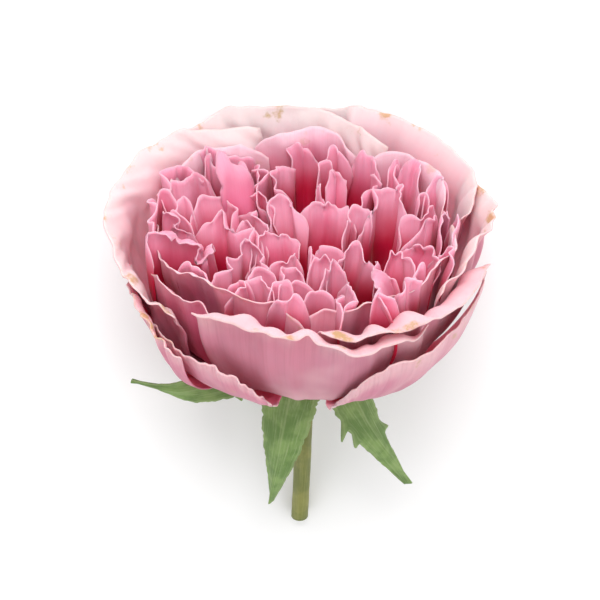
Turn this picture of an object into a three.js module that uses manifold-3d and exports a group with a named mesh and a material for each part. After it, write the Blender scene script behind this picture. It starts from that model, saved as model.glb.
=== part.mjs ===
// A cut garden rose of the full, peony-flowered kind, lying on its side.
//
// The flower is drawn upright first, in its own frame: +Z along the stem towards the bloom, the origin where
// the petals join the hip, +Y towards the side that the bloom lies on. The whole flower is then laid down.
// Lengths are in millimetres.

import * as THREE from 'three'
import { mergeVertices } from 'three/addons/utils/BufferGeometryUtils.js'
import Module from 'manifold-3d'

// ---- Driving dimensions ----

const bowl = { depth: 50, fullness: 2.3 }
const crown = { middleHeight: 36, edgeRise: 10, edgeRadius: 45 }
const petalThickness = 0.45
const sepalThickness = 0.7
const pieceGap = 0.3
const smallestCut = 1e-3
const sliver = 0.04

// Petals: the width at the base and the height at which they are full wide, as shares; how steeply their sides
// climb; how far the corners of the rim drop; and the length of petal that is counted as one in v.
const petalForm = { baseWidth: 0.6, fullWidthAt: 0.8, climb: 1.35, cornerPower: 3.5, length: 45 }

const hip = { radius: 8.6, domeHeight: 5.4, neckRadius: 3.6, neckZ: -12 }
const stem = { topRadius: 2.9, endRadius: 2.35, endZ: -63, lean: 1.4, sides: 14 }

// How the flower lies: the angle of the stem above the floor, how far the lowest petals are pressed flat,
// and the shift that puts the middle of its footprint at the origin.
const restTilt = THREE.MathUtils.degToRad(22.4)
const restHeight = 26.2
const restShift = new THREE.Vector3(-0.3, 1.2, restHeight)

// ---- Materials ----

const finish = (color, roughness) => new THREE.MeshStandardMaterial({ color, roughness, metalness: 0 })
const guardPetalFinish = finish(0xe9bcc6, 0.6)
const rimPetalFinish = finish(0xe79cb4, 0.6)
const innerPetalFinish = finish(0xdb5f86, 0.6)
const sepalFinish = finish(0x6f8f57, 0.65)
const stemFinish = finish(0x76803f, 0.55)

// ---- Petals ----
//
// A petal is drawn by its rim, as points [x, y, z] that are walked with the petal's outer face on the right.
// Below the rim it follows the bowl: every rim point shrinks towards the stem's axis as it goes down.
// lip is the length of the rim that curls outwards and curl is its angle in degrees. corner is how far the ends
// of the rim drop, as a share of the petal's length. lean slants the upper half, as the shift in x and y for
// each millimetre down from the rim.

const guardPetals = {
  guard_left: {
    rim: [[-13, 44.5, 44], [-38, 33, 46], [-51, 6, 43], [-45, -18, 37], [-34.5, -29.5, 33]],
    lip: 14, curl: 60, corner: 0.05,
  },
  guard_back: { rim: [[24, 35.5, 43], [7, 46, 46], [-19, 47.5, 46.5], [-38, 37, 44]], lip: 12, curl: 48, corner: 0.05 },
  guard_right_back: { rim: [[44, 4, 41], [46, 17, 44], [33, 37.5, 44], [10, 49, 45]], lip: 12, curl: 48, corner: 0.05 },
  guard_right: { rim: [[36, -28, 39], [46.5, -10, 43], [50.5, 3, 44], [46, 21, 42]], lip: 11, curl: 45 },
  guard_front_right: { rim: [[5, -48, 37], [22, -43.5, 37], [39, -32, 36], [51, -11, 34]], lip: 11, curl: 95 },
  guard_low_right: { rim: [[8, -43.5, 19], [21, -42.5, 27], [39, -30, 30], [49, -6, 30]], lip: 4, curl: 20, corner: 0.05 },
  guard_front: {
    rim: [[-30, -37, 38], [-15, -45, 39], [2, -49, 37], [18, -46.5, 33], [33, -36, 32]],
    lip: 8, curl: 80,
  },
  guard_low_left: {
    rim: [[-38, -28, 28], [-28, -38, 29], [-15, -42.5, 26], [-1, -43, 17]],
    lip: 4, curl: 50, corner: 0.05,
  },
  guard_left_low: {
    rim: [[-48.5, -2, 30], [-46.5, -17, 32], [-41, -31, 30], [-34, -39, 26]],
    lip: 5, curl: 70, corner: 0.05,
  },
}

const rimPetals = {
  rim_left: { rim: [[-41, 4, 41], [-38, -12, 40], [-28.5, -24, 40], [-14, -35, 41], [2, -38.5, 38]], lip: 4, curl: 60 },
  rim_low_left: { rim: [[-42.5, -8, 36], [-37, -21.5, 37], [-28, -30, 36.5], [-18, -36.5, 36]], lip: 5, curl: 50 },
  rim_right: { rim: [[-3, -35, 39], [11, -36.5, 40], [28, -28.5, 40], [39.5, -11, 42], [41, 4, 42]], lip: 4, curl: 60 },
  rim_back_left: { rim: [[-10, 36, 43], [-23.5, 34, 43], [-34, 25, 42], [-40, 10, 41]], lip: 6, curl: 40 },
  rim_back: { rim: [[15, 35.5, 43], [2, 40, 45], [-14, 38.5, 44]], lip: 6, curl: 40 },
  rim_back_right: { rim: [[38.5, 8, 42], [37.5, 17.5, 43], [28.5, 27.5, 43], [16, 33, 43]], lip: 6, curl: 40 },
}

// An inner petal's rim is drawn in plan only: it stands at the height of the bloom's crown.
const innerPetals = {
  fold_back_1: { rim: [[-27, 25], [-30, 23.5], [-35, 22.5], [-38.5, 19], [-40.5, 13]], lip: 3 },
  fold_back_2: { rim: [[-13, 27], [-16.5, 28], [-20, 25.8], [-25, 24]], lip: 7, curl: 100, lean: [0, -0.5] },
  fold_back_3: { rim: [[-20, 29.5], [-22, 27], [-25.5, 28.5], [-28.5, 26]], lean: [0, -0.2] },
  fold_back_4: { rim: [[-13.5, 33], [-17.5, 31], [-21, 32.8], [-26, 33], [-31, 30]] },
  fold_back_5: { rim: [[-15, 30], [-14, 27], [-13.3, 24], [-13.6, 21], [-12, 18], [-10.2, 15], [-10, 10.5]] },
  fold_back_6: { rim: [[-5, 32.5], [-5.2, 30], [-8.5, 28], [-10.2, 25], [-8, 21.8], [-4, 20.5]] },
  fold_back_7: { rim: [[5, 35.5], [0, 37.5], [-4, 36], [-5.5, 33]], lip: 4, lean: [0, -0.2] },
  fold_back_8: { rim: [[12.5, 32], [9, 34.5], [4, 33.5]], lean: [0, -0.3] },
  fold_back_9: { rim: [[21, 26], [19, 29.5], [16, 31.5], [12.3, 33.5]], lip: 3, lean: [0, -0.3] },
  fold_right_1: { rim: [[7.5, 20], [4, 23], [1, 21.5]], lean: [0, -0.4] },
  fold_right_2: { rim: [[12.5, 25], [8.5, 27], [5.8, 25.5], [4.6, 22]], lip: 3, curl: 50, lean: [0, -0.7] },
  fold_right_3: { rim: [[20, 28], [18, 25], [16.5, 22], [16.5, 19], [14.3, 15.5], [13, 12.5]] },
  fold_right_4: { rim: [[26.5, 25.5], [25, 23.5], [23.3, 20.5]], lip: 1.5 },
  fold_right_5: { rim: [[14, 6.5], [19, 13], [23.8, 19.8], [25.6, 13.5], [26.3, 5]], curl: 20, lean: [0, -1] },
  fold_right_6: { rim: [[11, 2.5], [12, 8.5], [15, 10.8], [19, 10.5]], lean: [0, -0.6] },
  fold_right_7: { rim: [[25.5, 1.5], [28.5, 3.5], [32, 4], [36.5, 6.5]], lean: [0, -0.3] },
  fold_right_8: { rim: [[28, -5], [30, -2.5], [32.5, -1], [33.5, 1], [36.5, 2.5]], lean: [0, -0.3] },
  fold_right_9: { rim: [[34.5, 17], [31.5, 22.5], [27.5, 26.5]], lip: 4, curl: 45, lean: [-0.2, -0.3] },
  fold_heart_1: { rim: [[-1.8, 13], [3, 16.8], [8, 16.3], [13.8, 11]], curl: 20, lean: [0, -1] },
  fold_heart_2: { rim: [[-10, 10.5], [-7, 14], [-3.5, 15], [-1, 11]], lean: [0.1, -1] },
  fold_heart_3: { rim: [[-12.5, -9], [-11.5, -3], [-8.5, 1], [-5, 2], [-3, -2]], lean: [0, -0.7] },
  fold_heart_4: { rim: [[9, -13], [10, -9], [11.5, -6], [15, -7.5], [20, -9.5]], lean: [0, -0.5] },
  fold_left_1: {
    rim: [[-23.5, 23], [-27, 22.5], [-31, 20.5], [-35, 18], [-38, 15], [-38.5, 9]],
    lip: 3, lean: [0.1, -0.6],
  },
  fold_left_2: { rim: [[-29.5, 9.5], [-26, 12.8], [-22, 13.7], [-19.3, 12], [-19.8, 7]], lean: [0, -0.7] },
  fold_left_3: { rim: [[-41, 8], [-41.8, 2], [-40.5, -4], [-38, -9.5]] },
  fold_left_4: { rim: [[-18.7, 12.5], [-15.5, 11.5], [-13.2, 8.5], [-11.5, 4], [-10, -1]], lean: [-0.3, -0.5] },
  fold_left_5: {
    rim: [[-28.5, 4], [-25, 5.7], [-21, 3.7], [-17, 0.7], [-15.5, -3], [-16.5, -8.5]],
    lean: [-0.1, -0.7],
  },
  fold_left_6: {
    rim: [[-38.5, -15.5], [-35.5, -12.3], [-31.5, -11.7], [-27.5, -14], [-24, -13.3], [-21, -9], [-20, -4.5]],
    lip: 3.5, curl: 95, lean: [0, -0.2],
  },
  fold_front_1: {
    rim: [[-22.5, -22], [-21, -15], [-17.5, -9.5], [-14, -7], [-11, -11], [-9, -17]],
    lean: [0, -0.5],
  },
  fold_front_2: { rim: [[-9.5, -15], [-7.5, -10], [-4, -9], [0, -8]], lean: [0, -0.5] },
  fold_front_3: { rim: [[0.2, -14], [3, -12], [5.5, -13], [7, -18]], lean: [0, -0.6] },
  fold_front_4: { rim: [[-20, -31], [-16.5, -26.5], [-13.8, -24.3], [-11, -27], [-7, -30]], lean: [0, -0.2] },
  fold_front_5: { rim: [[2.5, -23.5], [5.8, -18], [8.5, -16.3], [12.5, -15.2]], lean: [0, -0.4] },
  fold_front_6: {
    rim: [[15, -10.5], [15.5, -15], [16.8, -21], [16.8, -26], [15.8, -31], [15.2, -36.5]],
    lip: 4, curl: 85, lean: [0.5, -0.1],
  },
  fold_front_7: { rim: [[20.5, -14], [22, -11], [24.5, -12.5], [25.7, -17], [25, -22]], lip: 3, lean: [-0.1, -0.5] },
  fold_front_8: { rim: [[21, -30.5], [25.5, -33], [29, -30], [30.5, -26]], lean: [0, 0.1] },
  fold_front_9: { rim: [[26.2, -4], [29, -8], [31.7, -11.5], [33.3, -18]], lip: 3, lean: [-0.4, -0.6] },
}
const petalDefaults = { lip: 2, curl: 35, corner: 0.12, lean: [0, 0] }

// ---- Sepals ----
//
// A sepal runs down the middle points of its spine, from the hip to its tip.

const sepals = {
  sepal_front: { spine: [[-2, -9.4, -2.6], [-4, -15, -8], [-6.5, -18.5, -23], [-9, -15.5, -43]], halfWidth: 7.6 },
  sepal_right: { spine: [[7.6, -5.6, -2.6], [12, -12, -8], [18, -14, -20], [28.2, -12, -40]], halfWidth: 7 },
  sepal_left: { spine: [[-8.8, -3.4, -2.6], [-18, -6, -7.5], [-32, -5.5, -12], [-47.5, -2, -11]], halfWidth: 4.8 },
  sepal_back_right: { spine: [[7, 6.4, -2.6], [14, 11, -6.5], [23, 13, -11], [33, 12, -17]], halfWidth: 5.2 },
  sepal_back_left: { spine: [[-5, 8, -2.6], [-10, 13, -7.5], [-15, 13.5, -17], [-18, 11, -29]], halfWidth: 5.6 },
}

const clamp01 = (x) => Math.min(1, Math.max(0, x))

/** How far from the axis the bowl stands at height z, as a share of its full radius. */
function bowlReach(z) {
  const below = clamp01(1 - z / bowl.depth)
  return (1 - below ** bowl.fullness) ** (1 / bowl.fullness)
}

/** The height where a petal that ends at the given radius leaves the dome on top of the hip. */
function baseHeight(radius) {
  let low = 0
  let high = hip.domeHeight + pieceGap
  for (let i = 0; i < 24; i++) {
    const z = (low + high) / 2
    const across = (radius * bowlReach(z)) / (hip.radius + pieceGap)
    const inside = across ** 2 + (z / (hip.domeHeight + pieceGap)) ** 2 < 1
    if (inside) low = z
    else high = z
  }
  return high
}

/** One point of a petal's middle surface: u runs across it from -1 to 1, v from its base (0) to its rim (1). */
function petalPoint(petal, u, v) {
  const widening = Math.sin((Math.PI / 2) * clamp01(v / petalForm.fullWidthAt))
  const widen = petalForm.baseWidth + (1 - petalForm.baseWidth) * widening
  const s = 0.5 + 0.5 * u * widen
  const rim = petal.curve.getPoint(s)
  const along = petal.curve.getTangent(s)
  const outward = new THREE.Vector3(along.y, -along.x, 0).normalize()

  const curl = THREE.MathUtils.degToRad(petal.curl)
  const lipRadius = petal.lip / curl
  const shoulder = rim.clone()
  shoulder.addScaledVector(outward, -lipRadius * (1 - Math.cos(curl)))
  shoulder.z -= lipRadius * Math.sin(curl)

  const rise = v * (1 - petal.corner * Math.abs(u) ** petalForm.cornerPower)
  const lipStart = 1 - petal.lip / petalForm.length
  if (rise > lipStart) {
    const turn = (curl * (rise - lipStart)) / (1 - lipStart)
    shoulder.addScaledVector(outward, lipRadius * (1 - Math.cos(turn)))
    shoulder.z += lipRadius * Math.sin(turn)
    return shoulder
  }

  const reach = bowlReach(shoulder.z)
  const foot = baseHeight(Math.hypot(shoulder.x, shoulder.y) / reach)
  const z = foot + (shoulder.z - foot) * (rise / lipStart) ** petalForm.climb
  const scale = bowlReach(z) / reach
  const down = (shoulder.z - z) / shoulder.z
  const slant = shoulder.z * down * (1 - down) ** 1.5
  const [leanX, leanY] = petal.lean
  return new THREE.Vector3(shoulder.x * scale + leanX * slant, shoulder.y * scale + leanY * slant, z)
}

/** The floor's plane in the flower's own frame, where the lowest petals are pressed flat. */
const floorNormal = new THREE.Vector3(0, -Math.cos(restTilt), Math.sin(restTilt))
function pressOnFloor(point) {
  const height = point.dot(floorNormal) + restHeight - petalThickness / 2
  if (height < 0) point.addScaledVector(floorNormal, -height)
  return point
}

/** A closed thin sheet round a grid of middle points: rows of equal length, thick in the direction normal to it. */
function sheet(rows, thickness) {
  const rowCount = rows.length
  const columnCount = rows[0].length
  const positions = []
  for (const side of [1, -1]) {
    for (let j = 0; j < rowCount; j++) {
      for (let i = 0; i < columnCount; i++) {
        const across = rows[j][Math.min(i + 1, columnCount - 1)].clone().sub(rows[j][Math.max(i - 1, 0)])
        const up = rows[Math.min(j + 1, rowCount - 1)][i].clone().sub(rows[Math.max(j - 1, 0)][i])
        const normal = across.cross(up).normalize()
        positions.push(...rows[j][i].clone().addScaledVector(normal, (side * thickness) / 2))
      }
    }
  }
  const at = (side, j, i) => side * rowCount * columnCount + j * columnCount + i
  const faces = []
  const quad = (a, b, c, d) => faces.push(a, b, c, a, c, d)
  for (let j = 0; j < rowCount - 1; j++) {
    for (let i = 0; i < columnCount - 1; i++) {
      quad(at(0, j, i), at(0, j, i + 1), at(0, j + 1, i + 1), at(0, j + 1, i))
      quad(at(1, j, i), at(1, j + 1, i), at(1, j + 1, i + 1), at(1, j, i + 1))
    }
  }
  for (let i = 0; i < columnCount - 1; i++) {
    quad(at(1, 0, i), at(1, 0, i + 1), at(0, 0, i + 1), at(0, 0, i))
    quad(at(0, rowCount - 1, i), at(0, rowCount - 1, i + 1), at(1, rowCount - 1, i + 1), at(1, rowCount - 1, i))
  }
  for (let j = 0; j < rowCount - 1; j++) {
    quad(at(0, j, 0), at(0, j + 1, 0), at(1, j + 1, 0), at(1, j, 0))
    const last = columnCount - 1
    quad(at(1, j, last), at(1, j + 1, last), at(0, j + 1, last), at(0, j, last))
  }
  const geometry = new THREE.BufferGeometry()
  geometry.setAttribute('position', new THREE.Float32BufferAttribute(positions, 3))
  geometry.setIndex(faces)
  return geometry
}

/** The height of the bloom's crown over a point of its plan: lowest in the middle. */
const crownHeight = (x, y) => crown.middleHeight + (crown.edgeRise * (x * x + y * y)) / crown.edgeRadius ** 2

/** The rows of middle points of a petal, pressed flat where the bloom lies on the floor. */
function petalRows(drawn, columns, rowCount) {
  const rim = drawn.rim.map(([x, y, z = crownHeight(x, y)]) => new THREE.Vector3(x, y, z))
  const petal = { ...petalDefaults, ...drawn, curve: new THREE.CatmullRomCurve3(rim, false, 'catmullrom') }
  const rows = []
  for (let j = 0; j <= rowCount; j++) {
    const row = []
    for (let i = 0; i <= columns; i++) row.push(pressOnFloor(petalPoint(petal, (2 * i) / columns - 1, j / rowCount)))
    rows.push(row)
  }
  return rows
}

/** The rows of middle points of a sepal: a lance shape with a shallow fold down its middle. */
function sepalRows(sepal, columns, rowCount) {
  const spine = new THREE.CatmullRomCurve3(sepal.spine.map((p) => new THREE.Vector3(...p)), false, 'catmullrom')
  const rows = []
  for (let j = 0; j <= rowCount; j++) {
    const t = j / rowCount
    const middle = spine.getPoint(t)
    const along = spine.getTangent(t)
    const outward = new THREE.Vector3(middle.x, middle.y, 0).normalize()
    const side = along.clone().cross(outward).normalize()
    const back = side.clone().cross(along).normalize()
    const halfWidth = sepal.halfWidth * (0.05 + 0.95 * Math.sin(Math.PI * Math.min(1, 0.24 + t ** 0.8 * 0.74)))
    const row = []
    for (let i = 0; i <= columns; i++) {
      const u = (2 * i) / columns - 1
      const point = middle.clone().addScaledVector(side, u * halfWidth)
      row.push(point.addScaledVector(back, sepal.halfWidth * 0.22 * (1 - Math.abs(u)) * Math.min(1, 4 * t)))
    }
    rows.push(row)
  }
  return rows
}

// ---- Hip and stem ----

function hipGeometry() {
  const profile = [new THREE.Vector2(0, hip.neckZ), new THREE.Vector2(hip.neckRadius, hip.neckZ)]
  const shoulderSteps = 4
  for (let i = 1; i <= shoulderSteps; i++) {
    const t = i / shoulderSteps
    const radius = hip.neckRadius + (hip.radius - hip.neckRadius) * Math.sin((Math.PI / 2) * t)
    profile.push(new THREE.Vector2(radius, hip.neckZ * (1 - t ** 1.2)))
  }
  const domeSteps = 4
  for (let i = 1; i <= domeSteps; i++) {
    const angle = (Math.PI / 2) * (i / domeSteps)
    const radius = i === domeSteps ? 0 : hip.radius * Math.cos(angle)
    profile.push(new THREE.Vector2(radius, hip.domeHeight * Math.sin(angle)))
  }
  return new THREE.LatheGeometry(profile, 20).rotateX(Math.PI / 2)
}

function stemGeometry() {
  const topZ = hip.neckZ - pieceGap
  const length = topZ - stem.endZ
  const geometry = new THREE.CylinderGeometry(stem.topRadius, stem.endRadius, length, stem.sides, 6)
  geometry.rotateX(Math.PI / 2).translate(0, 0, (topZ + stem.endZ) / 2)
  const position = geometry.attributes.position
  for (let i = 0; i < position.count; i++) {
    const t = clamp01((topZ - position.getZ(i)) / length)
    position.setX(i, position.getX(i) - stem.lean * t ** 1.5)
  }
  return geometry
}

// ---- Keeping the pieces apart ----

const wasm = await Module()
wasm.setup()

function toSolid(geometry) {
  const plain = geometry.clone()
  plain.deleteAttribute('normal')
  plain.deleteAttribute('uv')
  const merged = mergeVertices(plain, 1e-4)
  const vertProperties = new Float32Array(merged.attributes.position.array)
  const triVerts = new Uint32Array(merged.index.array)
  return new wasm.Manifold(new wasm.Mesh({ numProp: 3, vertProperties, triVerts }))
}

function toGeometry(solid) {
  const mesh = solid.getMesh()
  const geometry = new THREE.BufferGeometry()
  geometry.setAttribute('position', new THREE.BufferAttribute(new Float32Array(mesh.vertProperties), 3))
  geometry.setIndex(new THREE.BufferAttribute(new Uint32Array(mesh.triVerts), 1))
  return geometry
}

/** The largest single body of a solid, so that no loose flakes are left after a cut. */
function largestBody(solid) {
  return solid.decompose().sort((a, b) => b.volume() - a.volume())[0]
}

const placed = []

/** Adds a piece to the flower, cut back where it would come closer than the gap to a piece placed before it. */
function place(name, body, clearance, material) {
  let solid = body
  for (const other of placed) {
    if (solid.intersect(other.clearance).volume() < smallestCut) continue
    solid = largestBody(solid.subtract(other.clearance).subtract(other.body).simplify(sliver))
  }
  placed.push({ body, clearance })
  const mesh = new THREE.Mesh(toGeometry(solid), material)
  mesh.name = name
  flower.add(mesh)
}

function placeSheet(name, rows, thickness, material) {
  const body = toSolid(sheet(rows, thickness))
  const clearance = toSolid(sheet(rows, thickness + 2 * pieceGap))
  place(name, body, clearance, material)
}

// ---- The whole flower ----

const flower = new THREE.Group()
const hipSolid = toSolid(hipGeometry())
place('hip', hipSolid, hipSolid, stemFinish)
const stemSolid = toSolid(stemGeometry())
place('stem', stemSolid, stemSolid, stemFinish)
for (const [name, sepal] of Object.entries(sepals)) placeSheet(name, sepalRows(sepal, 4, 8), sepalThickness, sepalFinish)
for (const [name, petal] of Object.entries(guardPetals)) {
  placeSheet(name, petalRows(petal, 9, 7), petalThickness, guardPetalFinish)
}
for (const [name, petal] of Object.entries(rimPetals)) {
  placeSheet(name, petalRows(petal, 8, 6), petalThickness, rimPetalFinish)
}
for (const [name, petal] of Object.entries(innerPetals)) {
  placeSheet(name, petalRows(petal, 7, 5), petalThickness, innerPetalFinish)
}

// Laid down: the bloom faces -Y and the stem runs to +Y, both a little off the floor between their ends.
const acrossAxis = new THREE.Vector3(-1, 0, 0)
const backAxis = new THREE.Vector3(0, -Math.sin(restTilt), -Math.cos(restTilt))
const bloomAxis = new THREE.Vector3(0, -Math.cos(restTilt), Math.sin(restTilt))
flower.quaternion.setFromRotationMatrix(new THREE.Matrix4().makeBasis(acrossAxis, backAxis, bloomAxis))
flower.position.copy(restShift)

const peonyRose = new THREE.Group()
peonyRose.add(flower)

export default peonyRose
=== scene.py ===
import bpy
import bmesh
import math
import random
import numpy as np
from mathutils import Matrix, Vector


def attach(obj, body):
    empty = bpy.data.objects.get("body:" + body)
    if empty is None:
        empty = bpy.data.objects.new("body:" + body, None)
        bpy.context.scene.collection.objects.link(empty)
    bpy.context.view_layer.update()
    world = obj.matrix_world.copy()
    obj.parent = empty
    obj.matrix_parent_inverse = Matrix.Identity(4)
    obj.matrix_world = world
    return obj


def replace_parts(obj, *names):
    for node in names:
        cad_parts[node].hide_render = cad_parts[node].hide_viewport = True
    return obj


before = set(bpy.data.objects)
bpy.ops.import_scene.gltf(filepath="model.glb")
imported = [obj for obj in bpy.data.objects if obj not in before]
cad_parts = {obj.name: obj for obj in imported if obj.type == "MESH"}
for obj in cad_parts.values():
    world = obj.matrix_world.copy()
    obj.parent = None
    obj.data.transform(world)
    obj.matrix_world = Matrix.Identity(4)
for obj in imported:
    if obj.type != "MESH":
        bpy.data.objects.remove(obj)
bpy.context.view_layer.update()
mm = 0.001

# The flower is drawn upright in millimetres, +Z from the stem to the bloom, and then laid on its side.
restTilt = math.radians(22.4)
restShift = np.array([-0.3, 1.2, 26.2])
layDown = np.array([
    [-1, 0, 0],
    [0, -math.sin(restTilt), -math.cos(restTilt)],
    [0, -math.cos(restTilt), math.sin(restTilt)],
])  # rows are where the flower's own x, y and z axes point once it lies


def toWorld(points, lowest=-math.inf):
    # lays the drawn points down, and presses up to the lowest height what would be under it
    lying = points @ layDown + restShift
    lying[:, 2] = np.maximum(lying[:, 2], lowest)
    return lying * mm


def smoothStep(x):
    x = np.clip(x, 0, 1)
    return x * x * (3 - 2 * x)


def unit(vectors):
    return vectors / np.maximum(np.linalg.norm(vectors, axis=1), 1e-9)[:, None]


def curvePoint(points, t):
    # a Catmull-Rom curve through the points, t from 0 to 1
    points = np.asarray(points, float)
    points = np.vstack([2 * points[0] - points[1], points, 2 * points[-1] - points[-2]])
    spans = len(points) - 3
    place = np.clip(t, 0, 1) * spans
    i = np.minimum(place.astype(int), spans - 1)
    w = (place - i)[:, None]
    p0, p1, p2, p3 = (points[i + k] for k in range(4))
    m1, m2 = (p2 - p0) / 2, (p3 - p1) / 2
    return ((2 * w**3 - 3 * w**2 + 1) * p1 + (w**3 - 2 * w**2 + w) * m1
            + (3 * w**2 - 2 * w**3) * p2 + (w**3 - w**2) * m2)


def curveTangent(points, t):
    step = 1e-3
    return curvePoint(points, np.minimum(t + step, 1)) - curvePoint(points, np.maximum(t - step, 0))


def waves(x, seed, lowest=1.0, count=3):
    # a smooth wandering line between about -1 and 1: each further wave is shorter and weaker
    dice = random.Random(seed)
    total = np.zeros_like(x)
    for k in range(count):
        pitch = lowest * (1.0 + k * 0.9) * dice.uniform(0.8, 1.2)
        total += np.sin(x * pitch * math.pi + dice.uniform(0, 2 * math.pi)) / (1 + 0.7 * k)
    return total / (1 + 0.35 * (count - 1))


# One gentle swirl that all the petals share, so that neighbours sway together and stay apart.
# It grows between two heights, and past calmRadius the outer petals take less of it.
swirl = dict(waves=6, pitch=0.42, reach=0.72, startZ=6, fullZ=32, calmRadius=36, calmWidth=8, calm=0.6)


def swirlWave(number):
    phase = random.Random(40 + number).uniform(0, 6.28)
    dice = random.Random(int(phase * 1000))
    pitch = np.array([dice.uniform(-1, 1), dice.uniform(-1, 1), dice.uniform(-0.4, 0.4)])
    push = np.array([dice.uniform(-1, 1), dice.uniform(-1, 1), dice.uniform(-0.5, 0.5)])
    return phase, pitch * swirl["pitch"], push


swirlWaves = [swirlWave(number) for number in range(swirl["waves"])]


def sway(points):
    height = smoothStep((points[:, 2] - swirl["startZ"]) / (swirl["fullZ"] - swirl["startZ"]))
    outside = smoothStep((np.hypot(points[:, 0], points[:, 1]) - swirl["calmRadius"]) / swirl["calmWidth"])
    strength = swirl["reach"] * height * (1 - swirl["calm"] * outside)
    total = np.zeros_like(points)
    for phase, pitch, push in swirlWaves:
        total += np.sin(points @ pitch + phase)[:, None] * push
    return points + total * strength[:, None]


def finishPiece(name, shape, places, materials):
    # moves the shape's vertices to their places in the world and makes an object of it
    for vert, place in zip(shape.verts, places):
        vert.co = place
    mesh = bpy.data.meshes.new(name)
    shape.to_mesh(mesh)
    shape.free()
    piece = bpy.data.objects.new(name, mesh)
    bpy.context.scene.collection.objects.link(piece)
    for material in materials:
        mesh.materials.append(material)
    for face in mesh.polygons:
        face.use_smooth = True
    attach(piece, "root")
    return piece


def makeSheet(name, grid, bendTo, thickness, lowest, materials):
    # a flat grid bent to shape: u runs across it from -1 to 1 and v up it from 0 to 1. Solidify adds
    # the wall, with the first material on the outer side and the second on the inner
    shape = bmesh.new()
    bmesh.ops.create_grid(shape, x_segments=grid[0], y_segments=grid[1], size=1)
    uvLayer = shape.loops.layers.uv.new("UVMap")
    for face in shape.faces:
        for corner in face.loops:
            corner[uvLayer].uv = (corner.vert.co.x / 2 + 0.5, corner.vert.co.y / 2 + 0.5)
    flat = np.array([vert.co[:] for vert in shape.verts])
    points = bendTo(flat[:, 0], flat[:, 1] / 2 + 0.5)
    piece = finishPiece(name, shape, toWorld(points, lowest), materials)
    wall = piece.modifiers.new("thickness", "SOLIDIFY")
    wall.thickness = thickness * mm
    wall.offset = 0
    wall.material_offset = 1
    return piece, points


# The nodes below are wired with these: a value may be a number, a colour or another node's output.
def feed(tree, socket, value):
    if isinstance(value, bpy.types.NodeSocket):
        tree.links.new(value, socket)
    elif value is not None:
        socket.default_value = value


def addNode(tree, kind, **settings):
    node = tree.nodes.new(kind)
    for key, value in settings.items():
        setattr(node, key, value)
    return node


def mathNode(tree, operation, first, second=None, clamp=False):
    node = addNode(tree, "ShaderNodeMath", operation=operation, use_clamp=clamp)
    feed(tree, node.inputs[0], first)
    feed(tree, node.inputs[1], second)
    return node.outputs[0]


def mixColor(tree, factor, first, second):
    node = addNode(tree, "ShaderNodeMix", data_type="RGBA")
    for socket, value in ((node.inputs[0], factor), (node.inputs[6], first), (node.inputs[7], second)):
        feed(tree, socket, value)
    return node.outputs[2]


def remap(tree, value, low, high, outLow=0.0, outHigh=1.0):
    node = addNode(tree, "ShaderNodeMapRange", interpolation_type="SMOOTHSTEP")
    for socket, number in zip(node.inputs[:5], (value, low, high, outLow, outHigh)):
        feed(tree, socket, number)
    return node.outputs[0]


def noiseNode(tree, vector, scale, detail=3.0, rough=0.5):
    node = addNode(tree, "ShaderNodeTexNoise")
    for title, value in (("Vector", vector), ("Scale", scale), ("Detail", detail), ("Roughness", rough)):
        feed(tree, node.inputs[title], value)
    return node.outputs["Fac"]


def stretched(tree, vector, factors):
    node = addNode(tree, "ShaderNodeVectorMath", operation="MULTIPLY")
    feed(tree, node.inputs[0], vector)
    feed(tree, node.inputs[1], factors)
    return node.outputs[0]


def shaderGroup(name, vectors, colors, numbers):
    # a node group that puts out a colour and a height
    tree = bpy.data.node_groups.new(name, "ShaderNodeTree")
    kinds = ((vectors, "NodeSocketVector"), (colors, "NodeSocketColor"), (numbers, "NodeSocketFloat"))
    for titles, kind in kinds:
        for title in titles:
            tree.interface.new_socket(name=title, in_out="INPUT", socket_type=kind)
    tree.interface.new_socket(name="color", in_out="OUTPUT", socket_type="NodeSocketColor")
    tree.interface.new_socket(name="height", in_out="OUTPUT", socket_type="NodeSocketFloat")
    return tree, tree.nodes.new("NodeGroupInput").outputs, tree.nodes.new("NodeGroupOutput").inputs


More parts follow.
